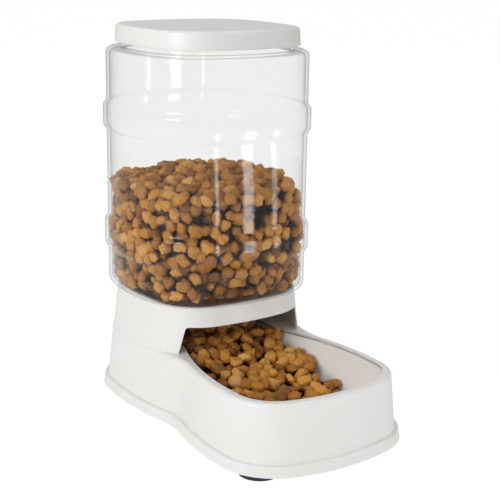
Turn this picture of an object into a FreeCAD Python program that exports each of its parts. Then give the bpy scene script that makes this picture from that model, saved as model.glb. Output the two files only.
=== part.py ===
"""Gravity pet feeder: one-piece base with a tower and a bowl, clear hopper, lift-off lid, rubber feet, food.

Each piece is modelled about the tower's upright centre line (X = 0, Y = 0 of its body), Z = 0 on the ground,
and its placement then brings the middle of the base's footprint to the origin. The bowl points towards -Y.
"""
import FreeCAD, Part
import math
import os
import re
import Sketcher

SIZES = {
    # Base footprint at the skirt's lower edge, measured from the tower's centre line
    "tower_half_width": 86.2,
    "front_reach": 214.3,
    "bowl_half_width": 85.7,
    "bowl_centre_margin": 71.8,
    "rear_bow_radius": 264.0,
    "rear_corner_radius": 57.0,
    "bowl_side_radius": 255.0,
    "bowl_front_radius": 174.0,
    "bowl_corner_radius": 50.0,
    "waist_radius": 71.0,
    # Base heights and walls
    "ground_gap": 3.5,
    "skirt_height": 9.0,
    "skirt_draft": 1.0,
    "skirt_step": 2.6,
    "skirt_round": 1.4,
    "rim_height": 61.0,
    "side_draft": 5.2,
    "rim_round": 3.6,
    "shell_wall": 2.6,
    # Tower, on the base's deck
    "tower_step": 0.8,
    "tower_draft": 5.0,
    "tower_rise": 41.0,
    "tower_edge_round": 0.9,
    # Bowl and chute
    "rim_width": 7.4,
    "rim_inner_round": 2.4,
    "bowl_draft": 11.0,
    "bowl_floor": 15.0,
    "bowl_floor_bevel": 5.0,
    "chute_side_margin": 13.0,
    "chute_rear_margin": 26.0,
    "chute_corner_radius": 22.0,
    "chute_side_radius": 300.0,
    "chute_waist_radius": 45.0,
    "ramp_rear_drop": 9.0,
    "ramp_toe_reach": 50.0,
    "ramp_edge_overlap": 1.0,
    "ramp_rear_overlap": 1.6,
    "ramp_toe_margin": 12.0,
    "ramp_toe_sink": 1.0,
    "ramp_cut_margin": 4.0,
    # Dispensing opening in the tower's front wall
    "opening_side_margin": 13.6,
    "opening_taper": 6.0,
    "opening_height": 23.5,
    "opening_cut_depth": 36.0,
    "opening_corner_round": 3.0,
    # Feet
    "foot_radius": 17.0,
    "foot_round": 1.0,
    "foot_stem_radius": 4.0,
    "foot_stem_length": 9.0,
    "foot_stem_fit": 0.05,
    "foot_end_space": 1.0,
    "foot_boss_wall": 3.0,
    "front_foot_side_inset": 24.7,
    "front_foot_inset": 34.8,
    "rear_foot_side_inset": 32.2,
    "rear_foot_inset": 33.3,
    # Hopper
    "seat_gap": 0.3,
    "hopper_overhang": 11.0,
    "hopper_bow_radius": 143.0,
    "hopper_corner_radius": 52.8,
    "hopper_wall": 2.8,
    "hopper_body_height": 211.7,
    "hopper_foot_round": 5.0,
    "hopper_inner_round": 3.0,
    "shoulder_round": 6.0,
    "grip_depth": 3.0,
    "grip_bevel": 6.0,
    "lower_grip_foot": 32.0,
    "lower_grip_height": 31.0,
    "upper_grip_foot": 138.2,
    "upper_grip_height": 28.0,
    "neck_step": 13.4,
    "neck_wall": 2.6,
    "collar_gap": 0.6,
    "collar_wall": 2.2,
    "collar_depth": 8.0,
    "funnel_margin": 4.2,
    "funnel_taper": 16.0,
    "funnel_wall": 2.2,
    "spout_lift": 3.3,
    # Lid
    "lid_gap": 1.2,
    "lid_wall": 2.4,
    "lid_top_wall": 2.6,
    "lid_bow_radius": 187.0,
    "lid_corner_radius": 41.8,
    "lid_draft": 0.9,
    "lid_round": 3.0,
    "lid_drop": 12.8,
    "lid_reveal": 3.7,
    "plug_gap": 0.5,
    "plug_wall": 2.0,
    "plug_depth": 8.0,
    # Food
    "food_gap": 0.5,
    "hopper_food_depth": 96.7,
    "bowl_food_rear_drop": 0.5,
    "bowl_food_front_margin": 44.0,
    "bowl_food_toe": 6.0,
}

# Places and widths that several pieces share, each worked out from the sizes above
SHARED = {
    "skirt_top": "ground_gap + skirt_height",
    "side_foot_inset": "skirt_draft + skirt_step",
    "rim_inset": "side_foot_inset + side_draft",
    "tower_foot_inset": "rim_inset + tower_step",
    "tower_top_inset": "tower_foot_inset + tower_draft",
    "tower_height": "rim_height + tower_rise",
    "tower_bore_inset": "tower_top_inset + shell_wall",
    "bowl_inset": "rim_inset + rim_width",
    "bowl_centre_reach": "front_reach - bowl_centre_margin",
    "opening_half_foot": "tower_half_width - tower_foot_inset - opening_side_margin",
    "chute_half_width": "opening_half_foot - chute_side_margin",
    "chute_rear_reach": "tower_half_width - tower_foot_inset - shell_wall - chute_rear_margin",
    "ramp_rear_height": "rim_height - ramp_rear_drop",
    "ramp_slope": "(ramp_rear_height - bowl_floor) / (chute_rear_reach + ramp_toe_reach)",
    "front_foot_across": "bowl_half_width - front_foot_side_inset",
    "front_foot_along": "front_foot_inset - front_reach",
    "rear_foot_across": "tower_half_width - rear_foot_side_inset",
    "rear_foot_along": "tower_half_width - rear_foot_inset",
    "hopper_half": "tower_half_width - tower_top_inset + hopper_overhang",
    "hopper_floor": "tower_height + seat_gap",
    "hopper_top": "hopper_floor + hopper_body_height",
    "hopper_bore_floor": "hopper_floor + hopper_wall",
    "neck_half": "hopper_half - neck_step",
    "neck_top": "hopper_top + lid_drop - seat_gap + lid_reveal",
    "funnel_mouth": "tower_half_width - tower_bore_inset - collar_gap - collar_wall - funnel_margin",
    "spout_radius": "funnel_mouth - funnel_taper",
    "spout_foot": "rim_height + spout_lift",
    "lid_half": "neck_half + lid_gap + lid_wall",
    "lid_ceiling": "neck_top + seat_gap",
    "lid_top": "lid_ceiling + lid_top_wall",
    "lid_foot": "lid_ceiling - lid_drop",
    "plug_step": "neck_wall + plug_gap",
}

DOC = FreeCAD.newDocument("pet_feeder")
SHEET = DOC.addObject("Spreadsheet::Sheet", "Sizes")
AXIS_X = -1
AXIS_Y = -2
ORIGIN = (-1, 1)
START = 1
END = 2
CENTRE = 3
NEAR = 1e-4
ROUND_TURNS = (0, 30, 60, 90)


def fill_sheet():
    """Write each driving size as a number, then each shared one as a formula, in cells with aliases."""
    rows = list(SIZES.items()) + [(alias, "=" + text) for alias, text in SHARED.items()]
    for row, (alias, content) in enumerate(rows, start=1):
        SHEET.set(f"A{row}", alias)
        SHEET.set(f"B{row}", str(content))
        SHEET.setAlias(f"B{row}", alias)
    DOC.recompute()


def formula(text):
    """Return the expression with each size named as the sheet's cell."""
    return re.sub(r"[a-z]+(?:_[a-z]+)+", lambda found: "Sizes." + found.group(), str(text))


def value(text):
    """Return the number that an expression on sizes gives now."""
    found = SHEET.evalExpression(str(text))
    return float(getattr(found, "Value", found))


# -------------------------------------------------------------------------------------- bodies and sketches

def new_body(label):
    """Make the body of one piece, placed so that the middle of the base's footprint is the origin."""
    body = DOC.addObject("PartDesign::Body", label)
    body.Label = label
    body.setExpression("Placement.Base.y", formula("(front_reach - tower_half_width) / 2"))
    return body


def plane(body, role):
    """Return one of the body's own origin planes."""
    return next(item for item in body.Origin.OriginFeatures if item.Role == role)


def new_sketch(body, name, height="0", role="XY_Plane"):
    """Attach an empty sketch to one of the body's origin planes, moved along the plane's normal."""
    sketch = body.newObject("Sketcher::SketchObject", name)
    sketch.AttachmentSupport = [(plane(body, role), "")]
    sketch.MapMode = "FlatFace"
    sketch.setExpression("AttachmentOffset.Base.z", formula(height))
    return sketch


def bind(sketch, name, expression, *constraint):
    """Add a constraint with a size, and bind it to its expression."""
    index = sketch.addConstraint(Sketcher.Constraint(*constraint, value(expression)))
    sketch.renameConstraint(index, name)
    sketch.setExpression("Constraints." + name, formula(expression))


def add_arc_loop(sketch, arcs):
    """Add arcs in order round a loop, each tangent to the next; a hollow arc is walked backwards."""
    for centre, radius, enter, leave, hollow in arcs:
        circle = Part.Circle(FreeCAD.Vector(*centre, 0), FreeCAD.Vector(0, 0, 1), radius)
        low, high = (leave, enter) if hollow else (enter, leave)
        sketch.addGeometry(Part.ArcOfCircle(circle, low, high), False)
    for index, item in enumerate(arcs):
        following = (index + 1) % len(arcs)
        leaving = START if item[-1] else END
        entering = END if arcs[following][-1] else START
        sketch.addConstraint(Sketcher.Constraint("Tangent", index, leaving, following, entering))


def corner_centre(side_back, side_at, side_bow, end_back, end_bow, turn):
    """Return the centre of the corner arc that touches a side arc and an end arc from inside.

    The side arc is centred at (side_back, side_at) and the end arc at (0, end_back).
    """
    across = side_back + side_bow - turn
    along = end_back + end_bow - turn
    for _ in range(80):
        across = side_back + math.sqrt((side_bow - turn) ** 2 - (along - side_at) ** 2)
        along = end_back + math.sqrt((end_bow - turn) ** 2 - across ** 2)
    return across, along


def bowed_square(body, name, height, half, bow, corner):
    """Sketch a square about the centre line, with sides that bow outwards and round corners."""
    sketch = new_sketch(body, name, height)
    size, side, turn = value(half), value(bow), value(corner)
    middle, _ = corner_centre(size - side, 0.0, side, size - side, side, turn)
    sweep = math.atan2(middle, middle + side - size)
    reach = middle * math.sqrt(2)
    arcs = []
    for quarter in range(4):
        facing = quarter * math.pi / 2
        diagonal = facing + math.pi / 4
        back = ((size - side) * math.cos(facing), (size - side) * math.sin(facing))
        arcs.append((back, side, facing - sweep, facing + sweep, False))
        arcs.append(((reach * math.cos(diagonal), reach * math.sin(diagonal)), turn,
                     facing + sweep, facing + math.pi / 2 - sweep, False))
    add_arc_loop(sketch, arcs)
    for quarter in range(4):
        axis = (AXIS_X, AXIS_Y)[quarter % 2]
        along = ("DistanceX", "DistanceY")[quarter % 2]
        ends = (2 * quarter, CENTRE, *ORIGIN) if quarter < 2 else (*ORIGIN, 2 * quarter, CENTRE)
        sketch.addConstraint(Sketcher.Constraint("PointOnObject", 2 * quarter, CENTRE, axis))
        bind(sketch, f"back{quarter}", f"({bow}) - ({half})", along, *ends)
        bind(sketch, f"bow{quarter}", bow, "Radius", 2 * quarter)
        bind(sketch, f"corner{quarter}", corner, "Radius", 2 * quarter + 1)
    return sketch


class Footprint:
    """An outline with one wide end under the tower, a waist, and one wide end round the bowl."""

    def __init__(self, rear, front, front_centre, waist):
        """Keep the sizes: rear and front are (half width, reach, side bow, end bow, corner) expressions."""
        names = ("half", "reach", "side", "end", "corner")
        self.outward = {f"rear {name}": size for name, size in zip(names, rear)}
        self.outward.update({f"front {name}": size for name, size in zip(names, front)})
        self.front_centre = front_centre
        self.waist = waist

    def sketch(self, body, name, height, inset):
        """Sketch the outline at a height, moved inwards all round by the inset."""
        sketch = new_sketch(body, name, height)
        term = {key: f"({size}) - ({inset})" for key, size in self.outward.items()}
        term["waist"] = f"({self.waist}) + ({inset})"
        term["front centre"] = self.front_centre
        add_arc_loop(sketch, self.arcs({key: value(size) for key, size in term.items()}))
        self.constrain(sketch, term)
        return sketch

    @staticmethod
    def arcs(size):
        """Return the loop's twelve arcs, anticlockwise from the middle of the front."""
        front = (0.0, size["front end"] - size["front reach"])
        back = (0.0, size["rear reach"] - size["rear end"])
        flank = (size["front half"] - size["front side"], -size["front centre"])
        cheek = (size["rear half"] - size["rear side"], 0.0)
        across, along = corner_centre(flank[0], -flank[1], size["front side"], -front[1], size["front end"],
                                      size["front corner"])
        front_turn = (across, -along)
        rear_turn = corner_centre(cheek[0], cheek[1], size["rear side"], back[1], size["rear end"],
                                  size["rear corner"])
        gap = math.dist(flank, cheek)
        flank_reach = size["front side"] + size["waist"]
        cheek_reach = size["rear side"] + size["waist"]
        foot = (flank_reach ** 2 - cheek_reach ** 2 + gap ** 2) / (2 * gap)
        offset = math.sqrt(flank_reach ** 2 - foot ** 2)
        step = ((cheek[0] - flank[0]) / gap, (cheek[1] - flank[1]) / gap)
        waist = (flank[0] + step[0] * foot + step[1] * offset, flank[1] + step[1] * foot - step[0] * offset)

        def angle(start, end):
            return math.atan2(end[1] - start[1], end[0] - start[0])

        at_nose, at_flank = angle(front, front_turn), angle(flank, front_turn)
        at_pinch, at_flare = angle(flank, waist), angle(cheek, waist)
        at_cheek, at_tail = angle(cheek, rear_turn), angle(back, rear_turn)
        right = [(front_turn, size["front corner"], at_nose, at_flank, False),
                 (flank, size["front side"], at_flank, at_pinch, False),
                 (waist, size["waist"], at_pinch + math.pi, at_flare + math.pi, True),
                 (cheek, size["rear side"], at_flare, at_cheek, False),
                 (rear_turn, size["rear corner"], at_cheek, at_tail, False)]
        left = [((-centre[0], centre[1]), radius, math.pi - leave, math.pi - enter, hollow)
                for centre, radius, enter, leave, hollow in reversed(right)]
        return [(front, size["front end"], -math.pi - at_nose, at_nose, False), *right,
                (back, size["rear end"], at_tail, math.pi - at_tail, False), *left]

    @staticmethod
    def constrain(sketch, term):
        """Bind the arcs' radii and centres; the tangent joints settle the rest."""
        order = ("front end", "front corner", "front side", "waist", "rear side", "rear corner", "rear end",
                 "rear corner", "rear side", "waist", "front side", "front corner")
        for index, size in enumerate(order):
            bind(sketch, f"radius{index}", term[size], "Radius", index)
        nose, tail = 0, 6
        for index in (nose, tail):
            sketch.addConstraint(Sketcher.Constraint("PointOnObject", index, CENTRE, AXIS_Y))
        bind(sketch, "nose", f"({term['front reach']}) - ({term['front end']})",
             "DistanceY", nose, CENTRE, *ORIGIN)
        bind(sketch, "tail", f"({term['rear end']}) - ({term['rear reach']})",
             "DistanceY", tail, CENTRE, *ORIGIN)
        for end, right, left in (("front", 2, 10), ("rear", 4, 8)):
            back_off = f"({term[end + ' side']}) - ({term[end + ' half']})"
            bind(sketch, f"right{right}", back_off, "DistanceX", right, CENTRE, *ORIGIN)
            bind(sketch, f"left{left}", back_off, "DistanceX", *ORIGIN, left, CENTRE)
        for index in (2, 10):
            bind(sketch, f"centre{index}", term["front centre"], "DistanceY", index, CENTRE, *ORIGIN)
        for index in (4, 8):
            sketch.addConstraint(Sketcher.Constraint("PointOnObject", index, CENTRE, AXIS_X))


BASE_PLAN = Footprint(
    ("tower_half_width", "tower_half_width", "rear_bow_radius", "rear_bow_radius", "rear_corner_radius"),
    ("bowl_half_width", "front_reach", "bowl_side_radius", "bowl_front_radius", "bowl_corner_radius"),
    "bowl_centre_reach", "waist_radius")
BOWL_PLAN = Footprint(
    ("chute_half_width", "chute_rear_reach", "chute_side_radius", "chute_side_radius", "chute_corner_radius"),
    tuple(size + " - bowl_inset" for size in BASE_PLAN.outward.values())[5:],
    "bowl_centre_reach", "chute_waist_radius")


def tower_plan(body, name, height, inset):
    """Sketch the tower's plan: the base's rear end, closed by a front wall that bows the same way."""
    return bowed_square(body, name, height, f"tower_half_width - ({inset})", f"rear_bow_radius - ({inset})",
                        f"rear_corner_radius - ({inset})")


def hopper_plan(body, name, height, inset):
    """Sketch the hopper's plan, moved inwards by the inset."""
    return bowed_square(body, name, height, f"hopper_half - ({inset})", f"hopper_bow_radius - ({inset})",
                        f"hopper_corner_radius - ({inset})")


def lid_plan(body, name, height, inset):
    """Sketch the lid's plan, moved inwards by the inset."""
    return bowed_square(body, name, height, f"lid_half - ({inset})", f"lid_bow_radius - ({inset})",
                        f"lid_corner_radius - ({inset})")


def polygon(body, name, points, role, height="0"):
    """Sketch a closed polygon on an upright plane, both coordinates of each corner bound."""
    sketch = new_sketch(body, name, height, role)
    spots = [FreeCAD.Vector(value(across), value(up), 0) for across, up in points]
    for index, spot in enumerate(spots):
        sketch.addGeometry(Part.LineSegment(spot, spots[(index + 1) % len(spots)]), False)
    for index in range(len(spots)):
        sketch.addConstraint(Sketcher.Constraint("Coincident", index, END, (index + 1) % len(spots), START))
    for index, corner in enumerate(points):
        for text, along, axis in zip(corner, ("DistanceX", "DistanceY"), (AXIS_Y, AXIS_X)):
            name = f"{along.lower()}{index}"
            if abs(value(text)) < NEAR:
                sketch.addConstraint(Sketcher.Constraint("PointOnObject", index, START, axis))
            elif value(text) > 0:
                bind(sketch, name, text, along, *ORIGIN, index, START)
            else:
                bind(sketch, name, f"-({text})", along, index, START, *ORIGIN)
    return sketch


# ------------------------------------------------------------------------------------------- features

def settle(body, feature, before=None, cuts=False):
    """Recompute a feature, and stop if it failed or changed the volume the wrong way."""
    DOC.recompute()
    if not feature.isValid() or feature.Shape.isNull():
        raise RuntimeError(f"{body.Label}: {feature.Name} failed")
    if before is not None and (feature.Shape.Volume < before) != cuts:
        raise RuntimeError(f"{body.Label}: {feature.Name} went the wrong way")
    return feature


def volume(body):
    """Return the body's volume so far, or None for an empty body."""
    return None if body.Tip is None else body.Tip.Shape.Volume


def loft(body, name, sections, cuts=False):
    """Join sketches at rising heights by straight-sided walls, to add or to cut."""
    before = volume(body)
    feature = body.newObject(f"PartDesign::{'Subtractive' if cuts else 'Additive'}Loft", name)
    feature.Profile = sections[0]
    feature.Sections = sections[1:]
    feature.Ruled = True
    return settle(body, feature, before, cuts)


def stack(body, name, plan, steps, cuts=False):
    """Loft one plan through a list of (height, inset) steps."""
    return loft(body, name, [plan(body, f"{name}_step{index}", height, inset)
                             for index, (height, inset) in enumerate(steps)], cuts)


def rounded(height, inset, radius, rising):
    """Return the (height, inset) steps that round an outline's lower edge (rising) or its upper edge."""
    steps = []
    for turn in ROUND_TURNS if rising else ROUND_TURNS[::-1]:
        up = 1 - math.cos(math.radians(turn))
        inwards = 1 - math.sin(math.radians(turn))
        sign = "+" if rising else "-"
        steps.append((f"{height} {sign} {up:.3f} * {radius}", f"{inset} + {inwards:.3f} * {radius}"))
    return steps


def round_block(body, name, kind, sizes, foot, across="0", along="0"):
    """Add or cut an upright cylinder or cone with bound sizes, its foot at a height."""
    before = volume(body)
    feature = body.newObject("PartDesign::" + kind, name)
    feature.AttachmentSupport = [(plane(body, "XY_Plane"), "")]
    feature.MapMode = "FlatFace"
    for key, expression in sizes.items():
        feature.setExpression(key, formula(expression))
    for key, expression in (("x", across), ("y", along), ("z", foot)):
        feature.setExpression("AttachmentOffset.Base." + key, formula(expression))
    return settle(body, feature, before, kind.startswith("Subtractive"))


def extrude(body, name, sketch, length, cuts=False):
    """Pad or pocket a sketch by a length, half on each side of its plane."""
    before = volume(body)
    feature = body.newObject("PartDesign::Pocket" if cuts else "PartDesign::Pad", name)
    feature.Profile = sketch
    feature.Midplane = True
    feature.setExpression("Length", formula(length))
    return settle(body, feature, before, cuts)


def flat_edges(body, height, wanted=lambda edge: True):
    """Return the edges of the body so far that lie flat at a height and meet a condition."""
    level = value(height)
    shape = body.Tip.Shape
    return [f"Edge{number}" for number, edge in enumerate(shape.Edges, start=1)
            if max(abs(edge.BoundBox.ZMin - level), abs(edge.BoundBox.ZMax - level)) < NEAR and wanted(edge)]


def fillet(body, name, edges, radius):
    """Round some edges of the body so far."""
    before = body.Tip
    feature = body.newObject("PartDesign::Fillet", name)
    feature.Base = (before, edges)
    feature.setExpression("Radius", formula(radius))
    return settle(body, feature)


# ------------------------------------------------------------------------------------------- base

def ramp_height(along):
    """Return the expression for the ramp's upper face at a distance behind the tower's centre line."""
    return f"bowl_floor + ramp_slope * (({along}) + ramp_toe_reach)"


def build_base_outside(body):
    """Add the skirt, the drafted side wall with its rounded rim, and the tower's block."""
    stack(body, "skirt", BASE_PLAN.sketch, [("ground_gap", "0"),
                                            *rounded("skirt_top", "skirt_draft", "skirt_round", False)])
    stack(body, "side_wall", BASE_PLAN.sketch, [("ground_gap", "side_foot_inset"),
                                                *rounded("rim_height", "rim_inset", "rim_round", False)])
    stack(body, "tower", tower_plan, [("rim_height - rim_round", "tower_foot_inset"),
                                      *rounded("tower_height", "tower_top_inset", "tower_edge_round", False)])


def build_base_hollows(body):
    """Hollow the base from below, add the bowl's skin and the foot bosses, and cut the bowl and the tower."""
    stack(body, "underside", BASE_PLAN.sketch,
          [("ground_gap", "side_foot_inset + shell_wall"),
           ("rim_height - shell_wall", "rim_inset + shell_wall")], cuts=True)
    stack(body, "bowl_skin", BOWL_PLAN.sketch,
          [("bowl_floor - shell_wall", "bowl_draft + bowl_floor_bevel - shell_wall"),
           ("bowl_floor + bowl_floor_bevel - shell_wall", "bowl_draft - shell_wall"),
           ("rim_height - shell_wall / 2", "-shell_wall")])
    for label, across, along in foot_places():
        round_block(body, label + "_boss", "AdditiveCylinder",
                    {"Radius": "foot_stem_radius + foot_stem_fit + foot_boss_wall",
                     "Height": "rim_height - shell_wall / 2 - ground_gap"}, "ground_gap", across, along)
    stack(body, "bowl", BOWL_PLAN.sketch, [("bowl_floor", "bowl_draft + bowl_floor_bevel"),
                                           ("bowl_floor + bowl_floor_bevel", "bowl_draft"),
                                           *rounded("rim_height", "-rim_inner_round", "rim_inner_round", False)],
          cuts=True)
    stack(body, "tower_bore", tower_plan, [("rim_height", "tower_foot_inset + shell_wall"),
                                           ("tower_height", "tower_bore_inset")], cuts=True)
    for label, across, along in foot_places():
        round_block(body, label + "_socket", "SubtractiveCylinder",
                    {"Radius": "foot_stem_radius + foot_stem_fit",
                     "Height": "foot_stem_length + foot_end_space"}, "ground_gap", across, along)


def build_ramp(body):
    """Add the sloping floor that leads food from under the hopper to the bowl, open underneath."""
    rear = "chute_rear_reach - ramp_rear_overlap"
    rear_half = "(chute_half_width - ramp_edge_overlap)"
    toe_half = "(chute_half_width - ramp_toe_margin)"
    ends = [polygon(body, f"ramp_{end}",
                    [(f"-{half}", under), (half, under), (half, level), (f"-{half}", level)], "XZ_Plane", away)
            for end, half, level, under, away in (
                ("rear", rear_half, ramp_height(rear), f"{ramp_height(rear)} - shell_wall", f"-({rear})"),
                ("toe", toe_half, "bowl_floor - ramp_toe_sink", "bowl_floor - 2 * ramp_toe_sink",
                 "ramp_toe_reach + ramp_toe_sink / ramp_slope"))]
    loft(body, "ramp", ends)
    front_cut = "ramp_cut_margin + shell_wall - ramp_toe_reach"
    rear_cut = "chute_rear_reach - bowl_draft - ramp_cut_margin"
    hollow = polygon(body, "ramp_hollow_side", [(front_cut, "ground_gap"), (rear_cut, "ground_gap"),
                                                (rear_cut, f"{ramp_height(rear_cut)} - shell_wall"),
                                                (front_cut, f"{ramp_height(front_cut)} - shell_wall")],
                     "YZ_Plane")
    extrude(body, "ramp_hollow", hollow, "2 * (chute_half_width - bowl_draft - ramp_cut_margin)", cuts=True)


def build_opening(body):
    """Cut the dispensing opening through the tower's front wall and soften its edges."""
    top = "rim_height + opening_height"
    mouth = polygon(body, "opening_front",
                    [("-opening_half_foot", "rim_height"), ("opening_half_foot", "rim_height"),
                     ("opening_half_foot - opening_taper", top), ("opening_taper - opening_half_foot", top)],
                    "XZ_Plane", "tower_half_width - tower_foot_inset")
    extrude(body, "opening", mouth, "2 * opening_cut_depth", cuts=True)
    corners = flat_edges(body, top, lambda edge: edge.BoundBox.XLength < NEAR)
    fillet(body, "opening_corners", corners, "opening_corner_round")


def build_base_shell():
    """Model the base: skirt, side wall, tower, bowl and chute as one moulding, open underneath."""
    body = new_body("base_shell")
    build_base_outside(body)
    build_base_hollows(body)
    build_ramp(body)
    build_opening(body)
    return body


def foot_places():
    """Return each foot's label and the expressions for its place."""
    return [(f"{end}_{side}_foot", f"{sign}{end}_foot_across", f"{end}_foot_along")
            for end in ("front", "rear") for side, sign in (("left", "-"), ("right", ""))]


def build_foot(label, across, along):
    """Model one rubber foot: a disc on the ground with a stem that pushes into the base."""
    body = new_body(label)
    round_block(body, label + "_disc", "AdditiveCylinder", {"Radius": "foot_radius", "Height": "ground_gap"},
                "0", across, along)
    fillet(body, label + "_edge", flat_edges(body, "0"), "foot_round")
    round_block(body, label + "_stem", "AdditiveCylinder",
                {"Radius": "foot_stem_radius", "Height": "foot_stem_length"}, "ground_gap", across, along)
    return body


# ------------------------------------------------------------------------------------------- hopper and lid

def grip_steps(inset, highest=None):
    """Return the (height, inset) steps of the two grip bands for a wall moved in by the inset."""
    steps = []
    for grip in ("lower_grip", "upper_grip"):
        foot = f"hopper_floor + {grip}_foot"
        head = f"{foot} + {grip}_height"
        if highest is None or value(head) < value(highest):
            steps += [(foot, inset), (f"{foot} + grip_bevel", f"{inset} - grip_depth"),
                      (f"{head} - grip_bevel", f"{inset} - grip_depth"), (head, inset)]
    return steps


def build_hopper():
    """Model the clear jar: grip bands, shoulder, neck, and the funnel that reaches into the tower."""
    body = new_body("hopper")
    stack(body, "jar", hopper_plan, [*rounded("hopper_floor", "0", "hopper_foot_round", True), *grip_steps("0"),
                                     *rounded("hopper_top", "0", "shoulder_round", False)])
    stack(body, "neck", hopper_plan, [("hopper_top", "neck_step"), ("neck_top", "neck_step")])
    collar = "tower_bore_inset + collar_gap"
    collar_foot = "hopper_floor - collar_depth"
    stack(body, "collar", tower_plan, [(collar_foot, collar), ("hopper_floor", collar)])
    stack(body, "collar_bore", tower_plan, [(collar_foot, collar + " + collar_wall"),
                                            ("hopper_floor", collar + " + collar_wall")], cuts=True)
    round_block(body, "funnel", "AdditiveCone",
                {"Radius1": "spout_radius", "Radius2": "funnel_mouth", "Height": "hopper_floor - spout_foot"},
                "spout_foot")
    stack(body, "jar_bore", hopper_plan,
          [*rounded("hopper_bore_floor", "hopper_wall", "hopper_inner_round", True), *grip_steps("hopper_wall"),
           *rounded("hopper_top - hopper_wall", "hopper_wall", "hopper_inner_round", False)], cuts=True)
    stack(body, "neck_bore", hopper_plan, [("hopper_top - hopper_wall", "neck_step + neck_wall"),
                                           ("neck_top", "neck_step + neck_wall")], cuts=True)
    round_block(body, "funnel_bore", "SubtractiveCone",
                {"Radius1": "spout_radius - funnel_wall", "Radius2": "funnel_mouth - funnel_wall",
                 "Height": "hopper_floor - spout_foot"}, "spout_foot")
    round_block(body, "funnel_inlet", "SubtractiveCylinder",
                {"Radius": "funnel_mouth - funnel_wall", "Height": "hopper_wall"}, "hopper_floor")
    return body


def build_lid():
    """Model the lift-off lid: a shallow cap with a plug ring that centres it in the neck."""
    body = new_body("lid")
    stack(body, "cap", lid_plan, [("lid_foot", "0"), *rounded("lid_top", "lid_draft", "lid_round", False)])
    stack(body, "cap_bore", lid_plan, [("lid_foot", "lid_wall"), ("lid_ceiling", "lid_wall + lid_draft")],
          cuts=True)
    outside = "neck_step + plug_step"
    foot = "lid_ceiling - plug_depth"
    stack(body, "plug", hopper_plan, [(foot, outside), ("lid_ceiling", outside)])
    stack(body, "plug_bore", hopper_plan, [(foot, outside + " + plug_wall"),
                                           ("lid_ceiling", outside + " + plug_wall")], cuts=True)
    return body


# ------------------------------------------------------------------------------------------- food

def build_hopper_food():
    """Model the food that fills the hopper's lower half and its funnel, as one plain solid."""
    body = new_body("food_in_hopper")
    level = "hopper_floor + hopper_food_depth"
    inset = "hopper_wall + food_gap"
    stack(body, "fill", hopper_plan,
          [*rounded("hopper_bore_floor + food_gap", inset, "hopper_inner_round", True),
           *grip_steps(inset, level), (level, inset)])
    narrow = "funnel_wall + food_gap"
    round_block(body, "fill_inlet", "AdditiveCylinder",
                {"Radius": f"funnel_mouth - ({narrow})", "Height": "hopper_wall + food_gap"}, "hopper_floor")
    round_block(body, "fill_funnel", "AdditiveCone",
                {"Radius1": f"spout_radius - ({narrow})", "Radius2": f"funnel_mouth - ({narrow})",
                 "Height": "hopper_floor - spout_foot"}, "spout_foot")
    return body


def build_bowl_food():
    """Model the heap that runs down from under the spout into the bowl, as one plain solid."""
    body = new_body("food_in_bowl")
    stack(body, "heap", BOWL_PLAN.sketch,
          [("bowl_floor + food_gap", "bowl_draft + bowl_floor_bevel + food_gap"),
           ("bowl_floor + bowl_floor_bevel + food_gap", "bowl_draft + food_gap"), ("rim_height", "food_gap")])
    level = "rim_height - bowl_food_rear_drop"
    toe = "bowl_floor + bowl_food_toe"
    above = "rim_height + bowl_food_toe"
    slope = polygon(body, "heap_top_side", [("chute_rear_reach + shell_wall", above),
                                            ("chute_rear_reach + shell_wall", level), ("-spout_radius", level),
                                            ("bowl_food_front_margin - front_reach", toe),
                                            ("bowl_food_front_margin - front_reach", "ground_gap"),
                                            ("-front_reach", "ground_gap"), ("-front_reach", above)], "YZ_Plane")
    extrude(body, "heap_top", slope, "2 * bowl_half_width", cuts=True)
    rear = "chute_rear_reach + shell_wall"
    under = polygon(body, "heap_ramp_side", [("-ramp_toe_reach", "bowl_floor + food_gap"),
                                             ("-ramp_toe_reach", "ground_gap"), (rear, "ground_gap"),
                                             (rear, f"{ramp_height(rear)} + 2 * food_gap")], "YZ_Plane")
    extrude(body, "heap_ramp", under, "2 * bowl_half_width", cuts=True)
    return body


# ------------------------------------------------------------------------------------------- writing

def build_pieces():
    """Build each piece and return the bodies."""
    bodies = [build_base_shell()]
    bodies += [build_foot(*place) for place in foot_places()]
    bodies += [build_hopper(), build_lid(), build_hopper_food(), build_bowl_food()]
    return bodies


def check_document(bodies):
    """Stop if any object failed, or any piece isn't one valid solid."""
    failed = [item.Name for item in DOC.Objects if {"Invalid", "Error"} & set(item.State)]
    if failed:
        raise RuntimeError(f"failed objects: {failed}")
    for body in bodies:
        if body.Shape.isNull() or not body.Shape.isValid() or len(body.Shape.Solids) != 1:
            raise RuntimeError(f"{body.Label}: {len(body.Shape.Solids)} solids, valid {body.Shape.isValid()}")


def main():
    """Build the document and write one STEP file for each piece."""
    fill_sheet()
    bodies = build_pieces()
    DOC.recompute()
    check_document(bodies)
    os.makedirs("parts", exist_ok=True)
    for body in bodies:
        body.Shape.exportStep(f"parts/{body.Label}.step")
        print(f"{body.Label}: {body.Shape.Volume / 1000:.1f} cm3")


main()
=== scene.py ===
"""Looks of the gravity pet feeder: white moulded base and lid, clear hopper, dry food and rubber feet."""

import itertools
import logging
import math
import random
from collections.abc import Callable, Sequence
from dataclasses import dataclass, field
from enum import Enum

import bmesh
import bpy
from mathutils import Euler, Matrix, Vector
from mathutils.bvhtree import BVHTree


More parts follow.
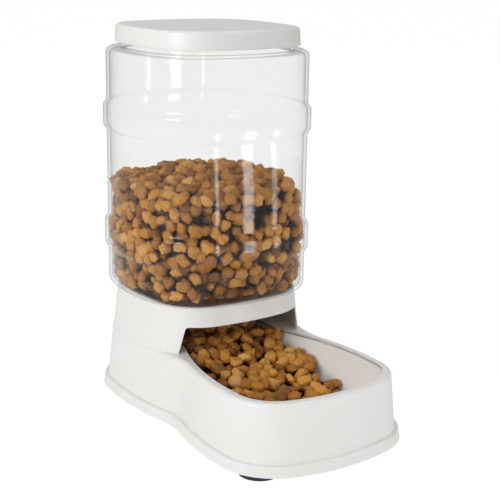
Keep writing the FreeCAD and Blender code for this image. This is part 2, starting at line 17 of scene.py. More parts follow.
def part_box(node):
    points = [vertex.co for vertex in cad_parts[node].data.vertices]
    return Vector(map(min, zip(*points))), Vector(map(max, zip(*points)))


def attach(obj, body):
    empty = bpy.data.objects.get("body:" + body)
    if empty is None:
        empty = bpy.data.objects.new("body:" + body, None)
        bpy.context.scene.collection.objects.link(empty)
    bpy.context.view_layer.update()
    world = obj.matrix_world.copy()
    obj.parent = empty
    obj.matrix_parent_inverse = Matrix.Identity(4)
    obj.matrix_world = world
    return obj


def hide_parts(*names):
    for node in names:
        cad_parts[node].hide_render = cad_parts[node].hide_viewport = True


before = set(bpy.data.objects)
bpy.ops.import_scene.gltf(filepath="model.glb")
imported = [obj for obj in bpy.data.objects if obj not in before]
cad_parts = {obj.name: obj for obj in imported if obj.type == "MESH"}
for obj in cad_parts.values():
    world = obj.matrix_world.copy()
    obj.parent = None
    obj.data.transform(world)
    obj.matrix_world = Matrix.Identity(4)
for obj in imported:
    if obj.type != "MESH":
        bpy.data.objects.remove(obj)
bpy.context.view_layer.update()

LOG = logging.getLogger("pet_feeder")
MM = 0.001
WHITE = (1.0, 1.0, 1.0, 1.0)
WELD = 1e-6
Colour = tuple[float, float, float, float]


# ------------------------------------------------------------------------------------------------ shaders


class Wire:
    """An output socket whose maths is written as Python expressions."""

    def __init__(self, graph: "Graph", socket: bpy.types.NodeSocket) -> None:
        """Keep the graph the socket is in, and the socket."""
        self.graph = graph
        self.socket = socket

    def _join(self, operation: str, first: "Wire | float", second: "Wire | float") -> "Wire":
        """Add a Math node.

        Args:
            operation: the Math node's operation.
            first: its first value or wire.
            second: its second value or wire.

        Returns:
            The node's output.
        """
        return self.graph.add("ShaderNodeMath", {"operation": operation}, {0: first, 1: second})

    def __add__(self, other: "Wire | float") -> "Wire":
        """Return the sum."""
        return self._join("ADD", self, other)

    __radd__ = __add__

    def __sub__(self, other: "Wire | float") -> "Wire":
        """Return the difference."""
        return self._join("SUBTRACT", self, other)

    def __rsub__(self, other: "Wire | float") -> "Wire":
        """Return the difference, turned round."""
        return self._join("SUBTRACT", other, self)

    def __mul__(self, other: "Wire | float") -> "Wire":
        """Return the product."""
        return self._join("MULTIPLY", self, other)

    __rmul__ = __mul__

    def __pow__(self, other: float) -> "Wire":
        """Return the power."""
        return self._join("POWER", self, other)


class Graph:
    """The nodes of one material or world."""

    def __init__(self, owner: bpy.types.Material | bpy.types.World) -> None:
        """Empty the owner's node tree and keep it."""
        owner.use_nodes = True
        self.tree = owner.node_tree
        self.tree.nodes.clear()

    def add(self, kind: str, settings: dict[str, object] | None = None,
            values: dict[str | int, object] | None = None, output: str | int = 0) -> Wire:
        """Add a node.

        Args:
            kind: the node's type name.
            settings: its attributes, and "stops" as (place, colour) pairs for a colour ramp.
            values: a value or a wire for each named or numbered input.
            output: the output to hand back.

        Returns:
            The chosen output.
        """
        node = self.tree.nodes.new(kind)
        for key, setting in (settings or {}).items():
            if key == "stops":
                self._set_stops(node.color_ramp, setting)
            else:
                setattr(node, key, setting)
        for key, given in (values or {}).items():
            if isinstance(given, Wire):
                self.tree.links.new(given.socket, node.inputs[key])
            else:
                node.inputs[key].default_value = given
        return Wire(self, node.outputs[output])

    @staticmethod
    def _set_stops(ramp: bpy.types.ColorRamp, stops: Sequence[tuple[float, Colour]]) -> None:
        """Give a colour ramp its stops, low to high."""
        while len(ramp.elements) < len(stops):
            ramp.elements.new(1.0)
        for element, (place, colour) in zip(ramp.elements, stops):
            element.position = place
            element.color = colour

    def finish(self, shader: Wire, kind: str = "ShaderNodeOutputMaterial") -> None:
        """Join the last shader to the output."""
        node = self.tree.nodes.new(kind)
        self.tree.links.new(shader.socket, node.inputs["Surface"])

    def noise(self, scale: float, detail: float = 2.0) -> Wire:
        """Return a noise in Object coordinates, with its scale per metre."""
        place = self.add("ShaderNodeTexCoord", output="Object")
        return self.add("ShaderNodeTexNoise", {"noise_dimensions": "3D"},
                        {"Vector": place, "Scale": scale, "Detail": detail}, "Fac")

    def bump(self, height: Wire, strength: float, depth: float) -> Wire:
        """Return a normal from a height, with its depth in metres."""
        return self.add("ShaderNodeBump", {}, {"Height": height, "Strength": strength, "Distance": depth})

    def blend(self, factor: Wire, low: Colour, high: Colour) -> Wire:
        """Return a colour between two, by a factor."""
        return self.add("ShaderNodeMix", {"data_type": "RGBA"}, {0: factor, 6: low, 7: high}, 2)


@dataclass(frozen=True)
class MouldedPlastic:
    """Opaque moulded plastic with a faint mottle, a fine orange peel and soft scuffs in its gloss."""

    name: str = "white_moulded_plastic"
    light: Colour = (0.87, 0.865, 0.845, 1.0)
    dull: Colour = (0.84, 0.832, 0.805, 1.0)
    roughness: float = 0.30
    scuff: float = 0.10
    mottle_scale: float = 14.0
    peel_scale: float = 900.0
    peel_depth: float = 0.00012

    def make(self) -> bpy.types.Material:
        """Return the material."""
        material = bpy.data.materials.new(self.name)
        graph = Graph(material)
        mottle = graph.noise(self.mottle_scale, 3.0)
        scuffs = graph.noise(self.mottle_scale * 6, 5.0)
        peel = graph.noise(self.peel_scale, 2.0)
        shader = graph.add("ShaderNodeBsdfPrincipled", {}, {
            "Base Color": graph.blend(mottle, self.dull, self.light),
            "Roughness": scuffs * self.scuff + (self.roughness - self.scuff / 2),
            "Normal": graph.bump(peel, 0.25, self.peel_depth),
            "Subsurface Weight": 0.08, "Subsurface Radius": (0.004, 0.0035, 0.003), "IOR": 1.49})
        graph.finish(shader)
        return material


@dataclass(frozen=True)
class ClearPlastic:
    """Clear moulded plastic: see-through face on, brighter and greyer where it is seen edge on."""

    name: str = "clear_moulded_plastic"
    tint: Colour = (0.972, 0.976, 0.972, 1.0)
    body: Colour = (0.36, 0.37, 0.38, 1.0)
    haze: float = 0.003
    edge: float = 0.9
    edge_power: float = 8.0
    gloss: float = 0.55
    gloss_power: float = 5.0
    face_gloss: float = 0.018
    roughness: float = 0.05
    ripple_scale: float = 26.0
    ripple_depth: float = 0.0006

    def make(self) -> bpy.types.Material:
        """Return the material."""
        material = bpy.data.materials.new(self.name)
        graph = Graph(material)
        ripple = graph.bump(graph.noise(self.ripple_scale, 2.0), 0.35, self.ripple_depth)
        haze = graph.noise(self.ripple_scale * 9, 4.0) * self.haze + self.haze
        facing = graph.add("ShaderNodeLayerWeight", {}, {"Blend": 0.5}, "Facing")
        clear = graph.add("ShaderNodeBsdfTransparent", {}, {"Color": self.tint})
        body = graph.add("ShaderNodeBsdfPrincipled", {}, {
            "Base Color": self.body, "Roughness": 0.35, "Normal": ripple, "IOR": 1.49})
        shine = graph.add("ShaderNodeBsdfPrincipled", {}, {
            "Base Color": WHITE, "Metallic": 1.0, "Roughness": self.roughness, "Normal": ripple})
        solid = graph.add("ShaderNodeMixShader", {}, {
            0: facing ** self.edge_power * self.edge + haze, 1: clear, 2: body})
        mirror = facing ** self.gloss_power * self.gloss + self.face_gloss
        glossy = graph.add("ShaderNodeMixShader", {}, {0: mirror, 1: solid, 2: shine})
        graph.finish(glossy)
        return material


@dataclass(frozen=True)
class FootRubber:
    """Dark soft rubber with a fine grain and a dusty bloom."""

    name: str = "foot_rubber"
    dark: Colour = (0.010, 0.010, 0.022, 1.0)
    bloom: Colour = (0.035, 0.035, 0.050, 1.0)
    roughness: float = 0.55
    grain_scale: float = 1400.0

    def make(self) -> bpy.types.Material:
        """Return the material."""
        material = bpy.data.materials.new(self.name)
        graph = Graph(material)
        bloom = graph.noise(60.0, 4.0)
        grain = graph.noise(self.grain_scale, 2.0)
        shader = graph.add("ShaderNodeBsdfPrincipled", {}, {
            "Base Color": graph.blend(bloom, self.dark, self.bloom),
            "Roughness": bloom * 0.2 + self.roughness,
            "Normal": graph.bump(grain, 0.5, 0.0002)})
        graph.finish(shader)
        return material


@dataclass(frozen=True)
class BakedFood:
    """Dry baked food: each piece its own brown plus painted shade deep in the fill, with a crumbly, pitted
    surface.
    """

    name: str = "baked_food"
    roughness: float = 0.62
    crumb_scale: float = 1100.0
    pit_scale: float = 420.0
    tone_and_gap_shade: str = "tone_and_gap_shade"
    # The darkest stops show the painted shade on pieces that lie deep in the fill.
    stops: tuple[tuple[float, Colour], ...] = (
        (0.0, (0.010, 0.004, 0.001, 1.0)), (0.25, (0.110, 0.036, 0.006, 1.0)),
        (0.5, (0.390, 0.150, 0.017, 1.0)), (0.75, (0.640, 0.290, 0.046, 1.0)),
        (1.0, (0.820, 0.480, 0.140, 1.0)))
    tone_and_gap_shade_share: float = 0.88
    pit_share: float = 0.32
    darkening: float = 0.12

    def make(self) -> bpy.types.Material:
        """Return the material."""
        material = bpy.data.materials.new(self.name)
        graph = Graph(material)
        crumb = graph.noise(self.crumb_scale, 4.0)
        pits = graph.noise(self.pit_scale, 3.0)
        # The attribute holds each piece's own tone times painted shade that darkens vertices deep in the
        # fill.
        own = graph.add("ShaderNodeAttribute", {"attribute_name": self.tone_and_gap_shade}, output="Fac")
        shade = own * self.tone_and_gap_shade_share + pits * self.pit_share - self.darkening
        colour = graph.add("ShaderNodeValToRGB", {"stops": self.stops}, {"Fac": shade}, "Color")
        shader = graph.add("ShaderNodeBsdfPrincipled", {}, {
            "Base Color": colour, "Roughness": crumb * 0.25 + self.roughness,
            "Normal": graph.bump(crumb * 0.5 + pits, 0.7, 0.0006)})
        graph.finish(shader)
        return material


# ------------------------------------------------------------------------------------------------ shapes


@dataclass(frozen=True)
class Outline:
    """A square plan with bowed sides and round corners, all in millimetres."""

    half: float
    bow: float
    corner: float

    def inward(self, inset: float) -> "Outline":
        """Return the outline moved inwards all round."""
        return Outline(self.half - inset, self.bow - inset, self.corner - inset)

    def corner_middle(self) -> float:
        """Return how far out each corner arc's centre is, along X and along Y."""
        back = self.half - self.bow
        reach = self.bow - self.corner
        return (back + math.sqrt(2 * reach ** 2 - back ** 2)) / 2

    def reach(self, angle: float) -> float:
        """Return how far the outline is from its centre in a direction.

        Args:
            angle: the direction, in radians from +X.

        Returns:
            The distance in millimetres.
        """
        if self.bow == self.corner:
            return self.half
        quarter = math.pi / 2
        folded = abs((angle + quarter / 2) % quarter - quarter / 2)
        middle = self.corner_middle()
        back = self.half - self.bow
        run = math.hypot(middle - back, middle)
        touch = math.atan2(self.bow * middle / run, back + self.bow * (middle - back) / run)
        centre, radius = ((back, 0.0), self.bow) if folded < touch else ((middle, middle), self.corner)
        along = centre[0] * math.cos(folded) + centre[1] * math.sin(folded)
        return along + math.sqrt(along ** 2 - centre[0] ** 2 - centre[1] ** 2 + radius ** 2)


@dataclass(frozen=True)
class Station:
    """One level of a lofted wall."""

    outline: Outline
    height: float


def rounded(outline: Outline, foot: float, radius: float, rising: bool, steps: int = 6) -> list[Station]:
    """Return the stations of a quarter round between a level face and an upright wall.

    Args:
        outline: the wall's outline.
        foot: the level face's height.
        radius: the round's radius.
        rising: True for the lower edge of a wall, False for its upper edge.
        steps: how many chords stand for the round.

    Returns:
        The stations in order of height.
    """
    stations = []
    for step in range(steps + 1):
        turn = math.pi / 2 * (step if rising else steps - step) / steps
        lift = radius * (1 - math.cos(turn))
        height = foot + lift if rising else foot - lift
        stations.append(Station(outline.inward(radius * (1 - math.sin(turn))), height))
    return stations


def smooth_mesh(mesh: bpy.types.Mesh, sharp: float) -> None:
    """Shade a mesh smooth, apart from edges sharper than an angle in degrees."""
    mesh.polygons.foreach_set("use_smooth", [True] * len(mesh.polygons))
    mesh.set_sharp_from_angle(angle=math.radians(sharp))


def new_piece(name: str, bm: bmesh.types.BMesh, sharp: float = 40.0) -> bpy.types.Object:
    """Turn a bmesh into a shown object.

    Args:
        name: the piece's name.
        bm: its mesh, which is freed.
        sharp: the angle in degrees past which an edge stays sharp.

    Returns:
        The object.
    """
    mesh = bpy.data.meshes.new(name)
    bm.to_mesh(mesh)
    bm.free()
    smooth_mesh(mesh, sharp)
    piece = bpy.data.objects.new(name, mesh)
    bpy.context.scene.collection.objects.link(piece)
    return piece


def even_shading(piece: bpy.types.Object) -> None:
    """Let the large faces set the normals where they meet small ones."""
    weighting = piece.modifiers.new("even_shading", "WEIGHTED_NORMAL")
    weighting.keep_sharp = True


@dataclass(frozen=True)
class Loft:
    """A wall that runs through stations about an upright axis."""

    centre: Vector
    segments: int = 144

    def place(self, ring: Sequence[bmesh.types.BMVert], station: Station) -> None:
        """Move a ring of vertices onto a station's outline."""
        for index, vertex in enumerate(ring):
            angle = 2 * math.pi * index / self.segments
            reach = station.outline.reach(angle) * MM
            vertex.co = (self.centre.x + reach * math.cos(angle), self.centre.y + reach * math.sin(angle),
                         station.height * MM)

    def build(self, stations: Sequence[Station], capped: bool) -> bmesh.types.BMesh:
        """Extrude one ring through the stations.

        Args:
            stations: the levels in order round the wall's section.
            capped: True to close both ends with faces, False where the last station is the first again.

        Returns:
            The closed mesh.
        """
        bm = bmesh.new()
        bmesh.ops.create_circle(bm, cap_ends=False, segments=self.segments, radius=1.0)
        whole = 2 * math.pi - WELD
        ring = sorted(bm.verts, key=lambda vertex: math.atan2(vertex.co.y, vertex.co.x) % whole)
        self.place(ring, stations[0])
        edges = list(bm.edges)
        ends = [edges]
        for station in stations[1:]:
            made = bmesh.ops.extrude_edge_only(bm, edges=edges)["geom"]
            fresh = {item for item in made if isinstance(item, bmesh.types.BMVert)}
            edges = [item for item in made if isinstance(item, bmesh.types.BMEdge)
                     and fresh.issuperset(item.verts)]
            ring = [next(edge.other_vert(vertex) for edge in vertex.link_edges
                         if edge.other_vert(vertex) in fresh) for vertex in ring]
            self.place(ring, station)
        ends.append(edges)
        if capped:
            for end in ends:
                bmesh.ops.edgeloop_fill(bm, edges=end)
        bmesh.ops.remove_doubles(bm, verts=bm.verts, dist=WELD)
        bmesh.ops.recalc_face_normals(bm, faces=bm.faces)
        return bm


# -------------------------------------------------------------------------------------- sub-assemblies


@dataclass
class Base:
    """The white base, shown as a welded copy of its CAD mesh with the rounds shaded smooth."""

    plastic: bpy.types.Material
    node: str = "base_shell"
    body: str = "base"
    sharp: float = 46.0

    def build(self) -> bpy.types.Object:
        """Return the base."""
        bm = bmesh.new()
        bm.from_mesh(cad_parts[self.node].data)
        bmesh.ops.remove_doubles(bm, verts=bm.verts, dist=WELD)
        bmesh.ops.dissolve_limit(bm, angle_limit=math.radians(0.5), verts=bm.verts, edges=bm.edges)
        piece = new_piece("base_moulding", bm, self.sharp)
        if "custom_normal" in piece.data.attributes:
            piece.data.attributes.remove(piece.data.attributes["custom_normal"])
            smooth_mesh(piece.data, self.sharp)
        even_shading(piece)
        piece.data.materials.clear()
        piece.data.materials.append(self.plastic)
        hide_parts(self.node)
        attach(piece, self.body)
        return piece


@dataclass
class Feet:
    """The four rubber feet, shown as their CAD nodes."""

    rubber: bpy.types.Material
    names: tuple[str, ...] = ("front_left_foot", "front_right_foot", "rear_left_foot", "rear_right_foot")

    def build(self) -> list[bpy.types.Object]:
        """Dress the feet and return them."""
        feet = [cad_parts[name] for name in self.names]
        for foot in feet:
            foot.data.materials.clear()
            foot.data.materials.append(self.rubber)
        return feet


@dataclass
class Hopper:
    """The clear jar, its grip bands, shoulder and neck, the collar and the funnel, as one closed wall."""

    plastic: bpy.types.Material
    plan: Outline = Outline(82.6, 143.0, 52.8)
    collar_plan: Outline = Outline(68.4, 246.2, 39.2)
    wall: float = 2.8
    floor: float = 102.3
    top: float = 314.0
    foot_round: float = 5.0
    shoulder_round: float = 6.0
    inner_round: float = 3.0
    grips: tuple[tuple[float, float], ...] = ((134.3, 165.3), (240.5, 268.5))
    grip_bevel: float = 6.0
    grip_depth: float = 3.0
    bevel_steps: int = 6
    neck_step: float = 13.4
    neck_wall: float = 2.6
    neck_top: float = 330.2
    lip_round: float = 1.2
    collar_wall: float = 2.2
    collar_depth: float = 8.0
    mouth: float = 62.0
    spout: float = 46.0
    spout_foot: float = 64.3
    funnel_wall: float = 2.2
    node: str = "hopper"

    def grip_stations(self, inset: float) -> list[Station]:
        """Return the stations of both grip bands, for a wall moved in by the inset."""
        stations = []
        for foot, head in self.grips:
            sweep = [step / self.bevel_steps for step in range(self.bevel_steps + 1)]
            rise = [(foot + self.grip_bevel * part, self.swell(part)) for part in sweep]
            fall = [(head - self.grip_bevel * part, self.swell(part)) for part in reversed(sweep)]
            stations += [Station(self.plan.inward(inset - out), height) for height, out in rise + fall]
        return stations

    def swell(self, part: float) -> float:
        """Return how far a band stands out part of the way up its bevel."""
        return self.grip_depth * part * part * (3 - 2 * part)

    def stations(self) -> list[Station]:
        """Return the wall's section: up the outside from the spout, over the lip and down the inside."""
        disc = Outline(self.spout, self.spout, self.spout)
        mouth = Outline(self.mouth, self.mouth, self.mouth)
        collar = self.collar_plan.inward(self.collar_wall)
        neck = self.plan.inward(self.neck_step)
        throat = neck.inward(self.neck_wall)
        inside = self.plan.inward(self.wall)
        ceiling = self.top - self.wall
        deck = self.floor + self.wall
        return [
            Station(disc, self.spout_foot), Station(mouth, self.floor),
            Station(collar, self.floor), Station(collar, self.floor - self.collar_depth),
            Station(self.collar_plan, self.floor - self.collar_depth), Station(self.collar_plan, self.floor),
            *rounded(self.plan, self.floor, self.foot_round, True), *self.grip_stations(0.0),
            *rounded(self.plan, self.top, self.shoulder_round, False), Station(neck, self.top),
            *rounded(neck, self.neck_top, self.lip_round, False, 3),
            *reversed([Station(throat.inward(-self.lip_round * (1 - math.sin(turn))),
                               self.neck_top - self.lip_round * (1 - math.cos(turn)))
                       for turn in (math.pi / 2, math.pi / 3, math.pi / 6, 0.0)]),
            Station(throat, ceiling),
            *reversed(rounded(inside, ceiling, self.inner_round, False, 4)),
            *reversed(self.grip_stations(self.wall)),
            *reversed(rounded(inside, deck, self.inner_round, True, 4)),
            Station(mouth.inward(self.funnel_wall), deck),
            Station(mouth.inward(self.funnel_wall), self.floor),
            Station(disc.inward(self.funnel_wall), self.spout_foot), Station(disc, self.spout_foot)]

    def build(self) -> bpy.types.Object:
        """Return the jar."""
        low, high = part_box(self.node)
        loft = Loft((low + high) / 2)
        piece = new_piece("clear_jar", loft.build(self.stations(), capped=False), 50.0)
        piece.data.materials.append(self.plastic)
        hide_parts(self.node)
        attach(piece, "hopper")
        return piece


@dataclass
class Lid:
    """The white lift-off lid: a shallow cap with a plug ring inside."""

    plastic: bpy.types.Material
    plan: Outline = Outline(72.8, 187.0, 41.8)
    plug_plan: Outline = Outline(66.1, 126.5, 36.3)
    foot: float = 317.7
    top: float = 333.1
    ceiling: float = 330.5
    draft: float = 0.9
    edge_round: float = 3.0
    wall: float = 2.4
    plug_wall: float = 2.0
    plug_depth: float = 8.0
    foot_bevel: float = 0.4
    node: str = "lid"

    def stations(self) -> list[Station]:
        """Return the section from inside the plug ring, out round the skirt's foot, to the top."""
        shelf = self.plan.inward(self.draft)
        bore = self.plug_plan.inward(self.plug_wall)
        low = self.ceiling - self.plug_depth
        return [
            Station(bore, self.ceiling), Station(bore, low), Station(self.plug_plan, low),
            Station(self.plug_plan, self.ceiling), Station(shelf.inward(self.wall), self.ceiling),
            Station(self.plan.inward(self.wall), self.foot),
            Station(self.plan.inward(self.foot_bevel), self.foot),
            Station(self.plan, self.foot + self.foot_bevel),
            *rounded(shelf, self.top, self.edge_round, False, 7)]

    def build(self) -> bpy.types.Object:
        """Return the lid."""
        low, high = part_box(self.node)
        piece = new_piece("lid_cap", Loft((low + high) / 2).build(self.stations(), capped=True), 40.0)
        even_shading(piece)
        piece.data.materials.append(self.plastic)
        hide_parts(self.node)
        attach(piece, "lid")
        return piece


class FoodShape(Enum):
    """The shapes that the dry food is baked in, by lobes round their edge."""

    DISC = 0
    TRIANGLE = 3
    OVAL = 2


@dataclass
class FoodPieces:
    """Prototypes of the dry food's shapes, each a mesh of a few dozen faces."""

    span: float = 6.2
    thickness: float = 3.9
    lobe: float = 0.13
    oval: float = 0.78
    around: int = 12
    levels: int = 6
    flatness: float = 0.62
    dent: float = 0.09
    variants: int = 4
    ridge: float = 38.0
    meshes: dict[FoodShape, list[bpy.types.Mesh]] = field(default_factory=dict)

    def build(self) -> None:
        """Make each prototype's mesh, centred on the origin, in metres."""
        chance = random.Random(5)
        for shape in FoodShape:
            self.meshes[shape] = []
            for variant in range(self.variants):
                bm = self.pillow(shape)
                for vertex in bm.verts:
                    vertex.co += Vector([chance.gauss(0.0, self.dent) * self.span * MM for _ in range(3)])
                mesh = bpy.data.meshes.new(f"food_{shape.name.lower()}_{variant}")
                bm.to_mesh(mesh)
                bm.free()
                smooth_mesh(mesh, self.ridge)
                self.meshes[shape].append(mesh)

    def pillow(self, shape: FoodShape) -> bmesh.types.BMesh:
        """Return a flattened ball whose edge has the shape's lobes."""
        bm = bmesh.new()
        bmesh.ops.create_uvsphere(bm, u_segments=self.around, v_segments=self.levels, radius=1.0)
        for vertex in bm.verts:
            turn = math.atan2(vertex.co.y, vertex.co.x)
            swell = 1 + self.lobe * math.cos(shape.value * turn) if shape.value else 1.0
            wide = math.hypot(vertex.co.x, vertex.co.y) ** self.flatness
            narrow = self.oval if shape is FoodShape.OVAL else 1.0
            vertex.co = (self.span * MM * swell * wide * math.cos(turn),
                         self.span * MM * swell * wide * math.sin(turn) * narrow,
                         self.thickness * MM * vertex.co.z)
        return bm


@dataclass
class FoodFill:
    """Loose dry food that stands for one of the CAD food solids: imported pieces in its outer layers."""

    name: str
    node: str
    body: str
    baked: bpy.types.Material
    pieces: FoodPieces
    seed: int
    tries: int
    heap: Callable[[float, float], float]
    spacing: float = 7.9
    depth: float = 17.0
    skin: float = 2.2
    room: float = 9.0
    company: int = 5
    # Painted shade between pieces: it begins at the first depth in millimetres and is full at the second.
    gap_shade_start: float = 2.4
    gap_shade_end: float = 8.0
    level: float = 0.5
    lean: float = 0.5
    sizes: tuple[float, float] = (0.86, 1.12)
    tone_middle: float = 0.67
    tone_spread: float = 0.16
    tone_least: float = 0.35
    mix: tuple[tuple[FoodShape, float], ...] = (
        (FoodShape.DISC, 0.42), (FoodShape.TRIANGLE, 0.22), (FoodShape.OVAL, 0.36))

    def build(self) -> bpy.types.Object:
        """Return the fill as one mesh."""
        chance = random.Random(self.seed)
        shell = self.container()
        bm = bmesh.new()
        for spot, normal, level in self.spots(chance, shell):
            self.add_piece(bm, chance, shell, spot, normal, level)
        fill = bpy.data.objects.new(self.name, bpy.data.meshes.new(self.name))
        bm.to_mesh(fill.data)
        bm.free()
        bpy.context.scene.collection.objects.link(fill)
        fill.data.materials.append(self.baked)
        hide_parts(self.node)
        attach(fill, self.body)
        return fill

    def container(self) -> BVHTree:
        """Return the CAD solid's surface, to find walls in."""
        bm = bmesh.new()
        bm.from_mesh(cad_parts[self.node].data)
        bmesh.ops.remove_doubles(bm, verts=bm.verts, dist=WELD)
        tree = BVHTree.FromBMesh(bm)
        bm.free()
        return tree

    def spots(self, chance: random.Random, shell: BVHTree) -> list[tuple[Vector, Vector, bool]]:
        """Throw points into the solid's outer layers, no two closer than the spacing.

        Args:
            chance: the fill's own random numbers.
            shell: the solid's surface.

        Returns:
            Each point, the normal of the nearest wall, and whether that wall is the fill's free top.
        """
        low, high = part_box(self.node)
        cell = self.spacing * MM
        taken: dict[tuple[int, int, int], list[Vector]] = {}
        found = []
        for _ in range(self.tries):
            spot = Vector([chance.uniform(a, b) for a, b in zip(low, high)])
            near, normal, _, distance = shell.find_nearest(spot)
            inside = (spot - near).dot(normal) < 0
            if not inside or not self.skin * MM < distance < self.depth * MM or self.thin(shell, spot):
                continue
            free = normal.z > self.level
            if free:
                spot.z += self.heap(spot.x, spot.y) * MM
            if any((other - spot).length < cell for other in self.near(taken, spot)):
                continue
            taken.setdefault(self.cell(spot), []).append(spot)
            found.append((spot, normal, free))
        return [place for place in found if len(self.near(taken, place[0])) > self.company]

    def cell(self, spot: Vector) -> tuple[int, int, int]:
        """Return the grid cell that holds the point; cells are as wide as the spacing."""
        return tuple(int(part // (self.spacing * MM)) for part in spot)

    def near(self, taken: dict[tuple[int, int, int], list[Vector]], spot: Vector) -> list[Vector]:
        """Return the points already placed in the spot's cell and the cells that touch it."""
        i, j, k = self.cell(spot)
        return [other for box in itertools.product((i - 1, i, i + 1), (j - 1, j, j + 1), (k - 1, k, k + 1))
                for other in taken.get(box, ())]

    def thin(self, shell: BVHTree, spot: Vector) -> bool:
        """Return whether the solid is too thin at this spot to hold a whole piece.

        Args:
            shell: the solid's surface.
            spot: a point inside it.
        """
        above, below = (shell.ray_cast(spot, Vector((0.0, 0.0, way)))[3] or 0.0 for way in (1.0, -1.0))
        return above + below < self.room * MM

    def depths(self, mesh: bpy.types.Mesh, shell: BVHTree) -> list[float]:
        """Return how far each vertex lies inside the solid, in millimetres, the top's heap included."""
        deep = []
        for vertex in mesh.vertices:
            level = Vector((0.0, 0.0, self.heap(vertex.co.x, vertex.co.y) * MM))
            deep.append(min((near - place).dot(outward) / MM
                            for place, (near, outward, _, _) in
                            ((vertex.co, shell.find_nearest(vertex.co)),
                             (vertex.co - level, shell.find_nearest(vertex.co - level)))))
        return deep

    def add_piece(self, bm: bmesh.types.BMesh, chance: random.Random, shell: BVHTree, spot: Vector,
                  normal: Vector, free: bool) -> None:
        """Add one piece of food, turned at random, pushed back inside the walls and painted with shade where
        it lies deep in the fill.
        """
        shapes, odds = zip(*self.mix)
        mesh = chance.choice(self.pieces.meshes[chance.choices(shapes, odds)[0]]).copy()
        lean = Euler([chance.gauss(0.0, self.lean) for _ in range(3)]).to_matrix()
        facing = normal.to_track_quat("Z", "Y").to_matrix()
        spin = Matrix.Rotation(chance.uniform(0, 2 * math.pi), 3, "Z")
        size = chance.uniform(*self.sizes)
        turn = (lean @ facing @ spin).to_4x4()
        mesh.transform(Matrix.Translation(spot) @ turn @ Matrix.Scale(size, 4))
        if not free:
            over = 0.0
            for vertex in mesh.vertices:
                near, outward, _, _ = shell.find_nearest(vertex.co)
                if outward.z < self.level:
                    over = max(over, (vertex.co - near).dot(outward))
            if over > 0:
                mesh.transform(Matrix.Translation(-normal * over))
        own = min(1.0, max(self.tone_least, chance.gauss(self.tone_middle, self.tone_spread)))
        # Painted shade: vertices deeper in the fill are darkened, standing in for the shade in the gaps
        # between pieces.
        lit = [1.0 - min(1.0, max(0.0, (deep - self.gap_shade_start) / (self.gap_shade_end - self.gap_shade_start)))
               for deep in self.depths(mesh, shell)]
        tone_and_gap_shade = mesh.attributes.new("tone_and_gap_shade", "FLOAT", "POINT")
        tone_and_gap_shade.data.foreach_set("value", [own * part for part in lit])
        bm.from_mesh(mesh)
        bpy.data.meshes.remove(mesh)


# ------------------------------------------------------------------------------------------------ studio


@dataclass(frozen=True)
class SoftBox:
    """One rectangular lamp that faces a point on the object."""

    name: str
    place: tuple[float, float, float]
    width: float
    height: float
    power: float
    target: tuple[float, float, float] = (0.0, 0.0, 0.16)

    def build(self) -> bpy.types.Object:
        """Return the lamp."""
        lamp = bpy.data.lights.new(self.name, "AREA")
        lamp.shape = "RECTANGLE"
        lamp.size = self.width
        lamp.size_y = self.height
        lamp.energy = self.power
        box = bpy.data.objects.new(self.name, lamp)
        box.location = self.place
        box.rotation_euler = (Vector(self.target) - Vector(self.place)).to_track_quat("-Z", "Y").to_euler()
        bpy.context.scene.collection.objects.link(box)
        return box


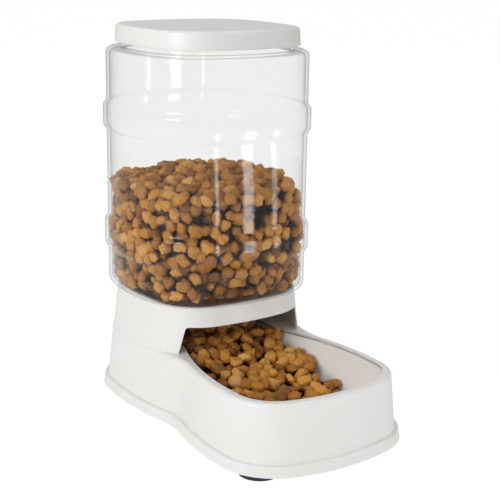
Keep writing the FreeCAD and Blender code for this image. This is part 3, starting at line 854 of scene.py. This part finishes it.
@dataclass
class Studio:
    """White floor and surroundings, soft boxes and the camera."""

    camera_place: tuple[float, float, float] = (-0.54295, -0.81256, 0.40802)
    azimuth: float = -34.0
    pitch: float = 15.0
    roll: float = 0.9
    lens: float = 84.5
    floor_half: float = 12.0
    fill_level: float = 0.42
    floor_white: float = 0.90
    floor_level: float = 1.06
    floor_paint: Colour = (0.92, 0.92, 0.92, 1.0)
    boxes: tuple[SoftBox, ...] = (
        SoftBox("key_box", (-1.9, -0.45, 1.0), 1.1, 1.1, 22.0),
        SoftBox("front_box", (0.3, -1.9, 0.9), 0.8, 0.8, 0.6),
        SoftBox("top_box", (0.3, 0.4, 1.7), 1.2, 1.2, 6.5),
        SoftBox("narrow_strip", (-0.02, -0.54, 0.07), 0.028, 0.13, 0.09, (0.0, 0.06, 0.15)),
        SoftBox("wide_strip", (0.23, -0.49, 0.07), 0.085, 0.13, 0.26, (0.0, 0.06, 0.15)),
        SoftBox("far_strip", (0.43, -0.36, 0.07), 0.028, 0.13, 0.09, (0.0, 0.06, 0.15)))

    def build(self) -> None:
        """Make the floor, the surroundings, the lamps and the camera."""
        self.build_floor()
        self.build_world()
        for box in self.boxes:
            box.build()
        self.build_camera()
        bpy.context.scene.view_settings.view_transform = "Standard"

    @staticmethod
    def seen(graph: Graph) -> Wire:
        """Return 1 for camera and transmission rays; reflections see the surroundings at lamp level."""
        rays = [graph.add("ShaderNodeLightPath", output=name)
                for name in ("Is Camera Ray", "Is Transmission Ray")]
        return graph.add("ShaderNodeMath", {"operation": "MAXIMUM"}, {0: rays[0], 1: rays[1]})

    def build_floor(self) -> None:
        """Make a white floor, seen so bright that the object's shadow on it is lost."""
        bm = bmesh.new()
        bmesh.ops.create_grid(bm, x_segments=1, y_segments=1, size=self.floor_half)
        floor = new_piece("studio_floor", bm)
        material = bpy.data.materials.new("pale_floor")
        graph = Graph(material)
        matt = graph.add("ShaderNodeBsdfDiffuse", {}, {"Color": self.floor_paint})
        white = graph.add("ShaderNodeEmission", {}, {"Color": WHITE, "Strength": self.floor_level})
        graph.finish(graph.add("ShaderNodeMixShader", {}, {
            0: self.seen(graph) * self.floor_white, 1: matt, 2: white}))
        floor.data.materials.append(material)

    def build_world(self) -> None:
        """Make surroundings that light evenly and are seen as white."""
        world = bpy.data.worlds.new("studio")
        bpy.context.scene.world = world
        graph = Graph(world)
        fill = graph.add("ShaderNodeBackground", {}, {"Color": WHITE, "Strength": self.fill_level})
        white = graph.add("ShaderNodeBackground", {}, {"Color": WHITE, "Strength": 1.0})
        graph.finish(graph.add("ShaderNodeMixShader", {}, {0: self.seen(graph), 1: fill, 2: white}),
                     "ShaderNodeOutputWorld")

    def build_camera(self) -> None:
        """Make the camera, turned by its azimuth, pitch and roll."""
        lens = bpy.data.cameras.new("camera")
        lens.lens = self.lens
        lens.sensor_width = 36.0
        camera = bpy.data.objects.new("camera", lens)
        around, down, lean = (math.radians(angle) for angle in (self.azimuth, self.pitch, self.roll))
        back = Vector((math.sin(around) * math.cos(down), -math.cos(around) * math.cos(down), math.sin(down)))
        level = Vector((math.cos(around), math.sin(around), 0.0))
        up = back.cross(level)
        right = level * math.cos(lean) + up * math.sin(lean)
        upright = up * math.cos(lean) - level * math.sin(lean)
        turn = Matrix((right, upright, back)).transposed().to_4x4()
        camera.matrix_world = Matrix.Translation(self.camera_place) @ turn
        bpy.context.scene.collection.objects.link(camera)
        bpy.context.scene.camera = camera


def hopper_heap(across: float, along: float) -> float:
    """Return how far the food in the hopper is heaped above its level, in millimetres."""
    middle, reach, height = 0.064, 0.075, 9.0
    away = math.hypot(across, along - middle) / reach
    return height * max(0.0, 1.0 - away * away)


def bowl_heap(across: float, along: float) -> float:
    """Return how far the food in the bowl is heaped above its slope, in millimetres."""
    reach, height = 0.06, 2.5
    return height * max(0.0, 1.0 - (across / reach) ** 2)


def main() -> None:
    """Build each sub-assembly, then the studio."""
    logging.basicConfig(level=logging.INFO, format="%(name)s %(message)s")
    white = MouldedPlastic().make()
    baked = BakedFood().make()
    shapes = FoodPieces()
    shapes.build()
    built = [Base(white).build(), *Feet(FootRubber().make()).build(), Hopper(ClearPlastic().make()).build(),
             Lid(white).build(),
             FoodFill("loose_food_in_hopper", "food_in_hopper", "hopper", baked, shapes, 11, 90000,
                      hopper_heap).build(),
             FoodFill("loose_food_in_bowl", "food_in_bowl", "base", baked, shapes, 23, 40000,
                      bowl_heap).build()]
    for piece in built:
        LOG.info("%s: %d faces", piece.name, len(piece.data.polygons))
    Studio().build()


if __name__ == "__main__":
    main()
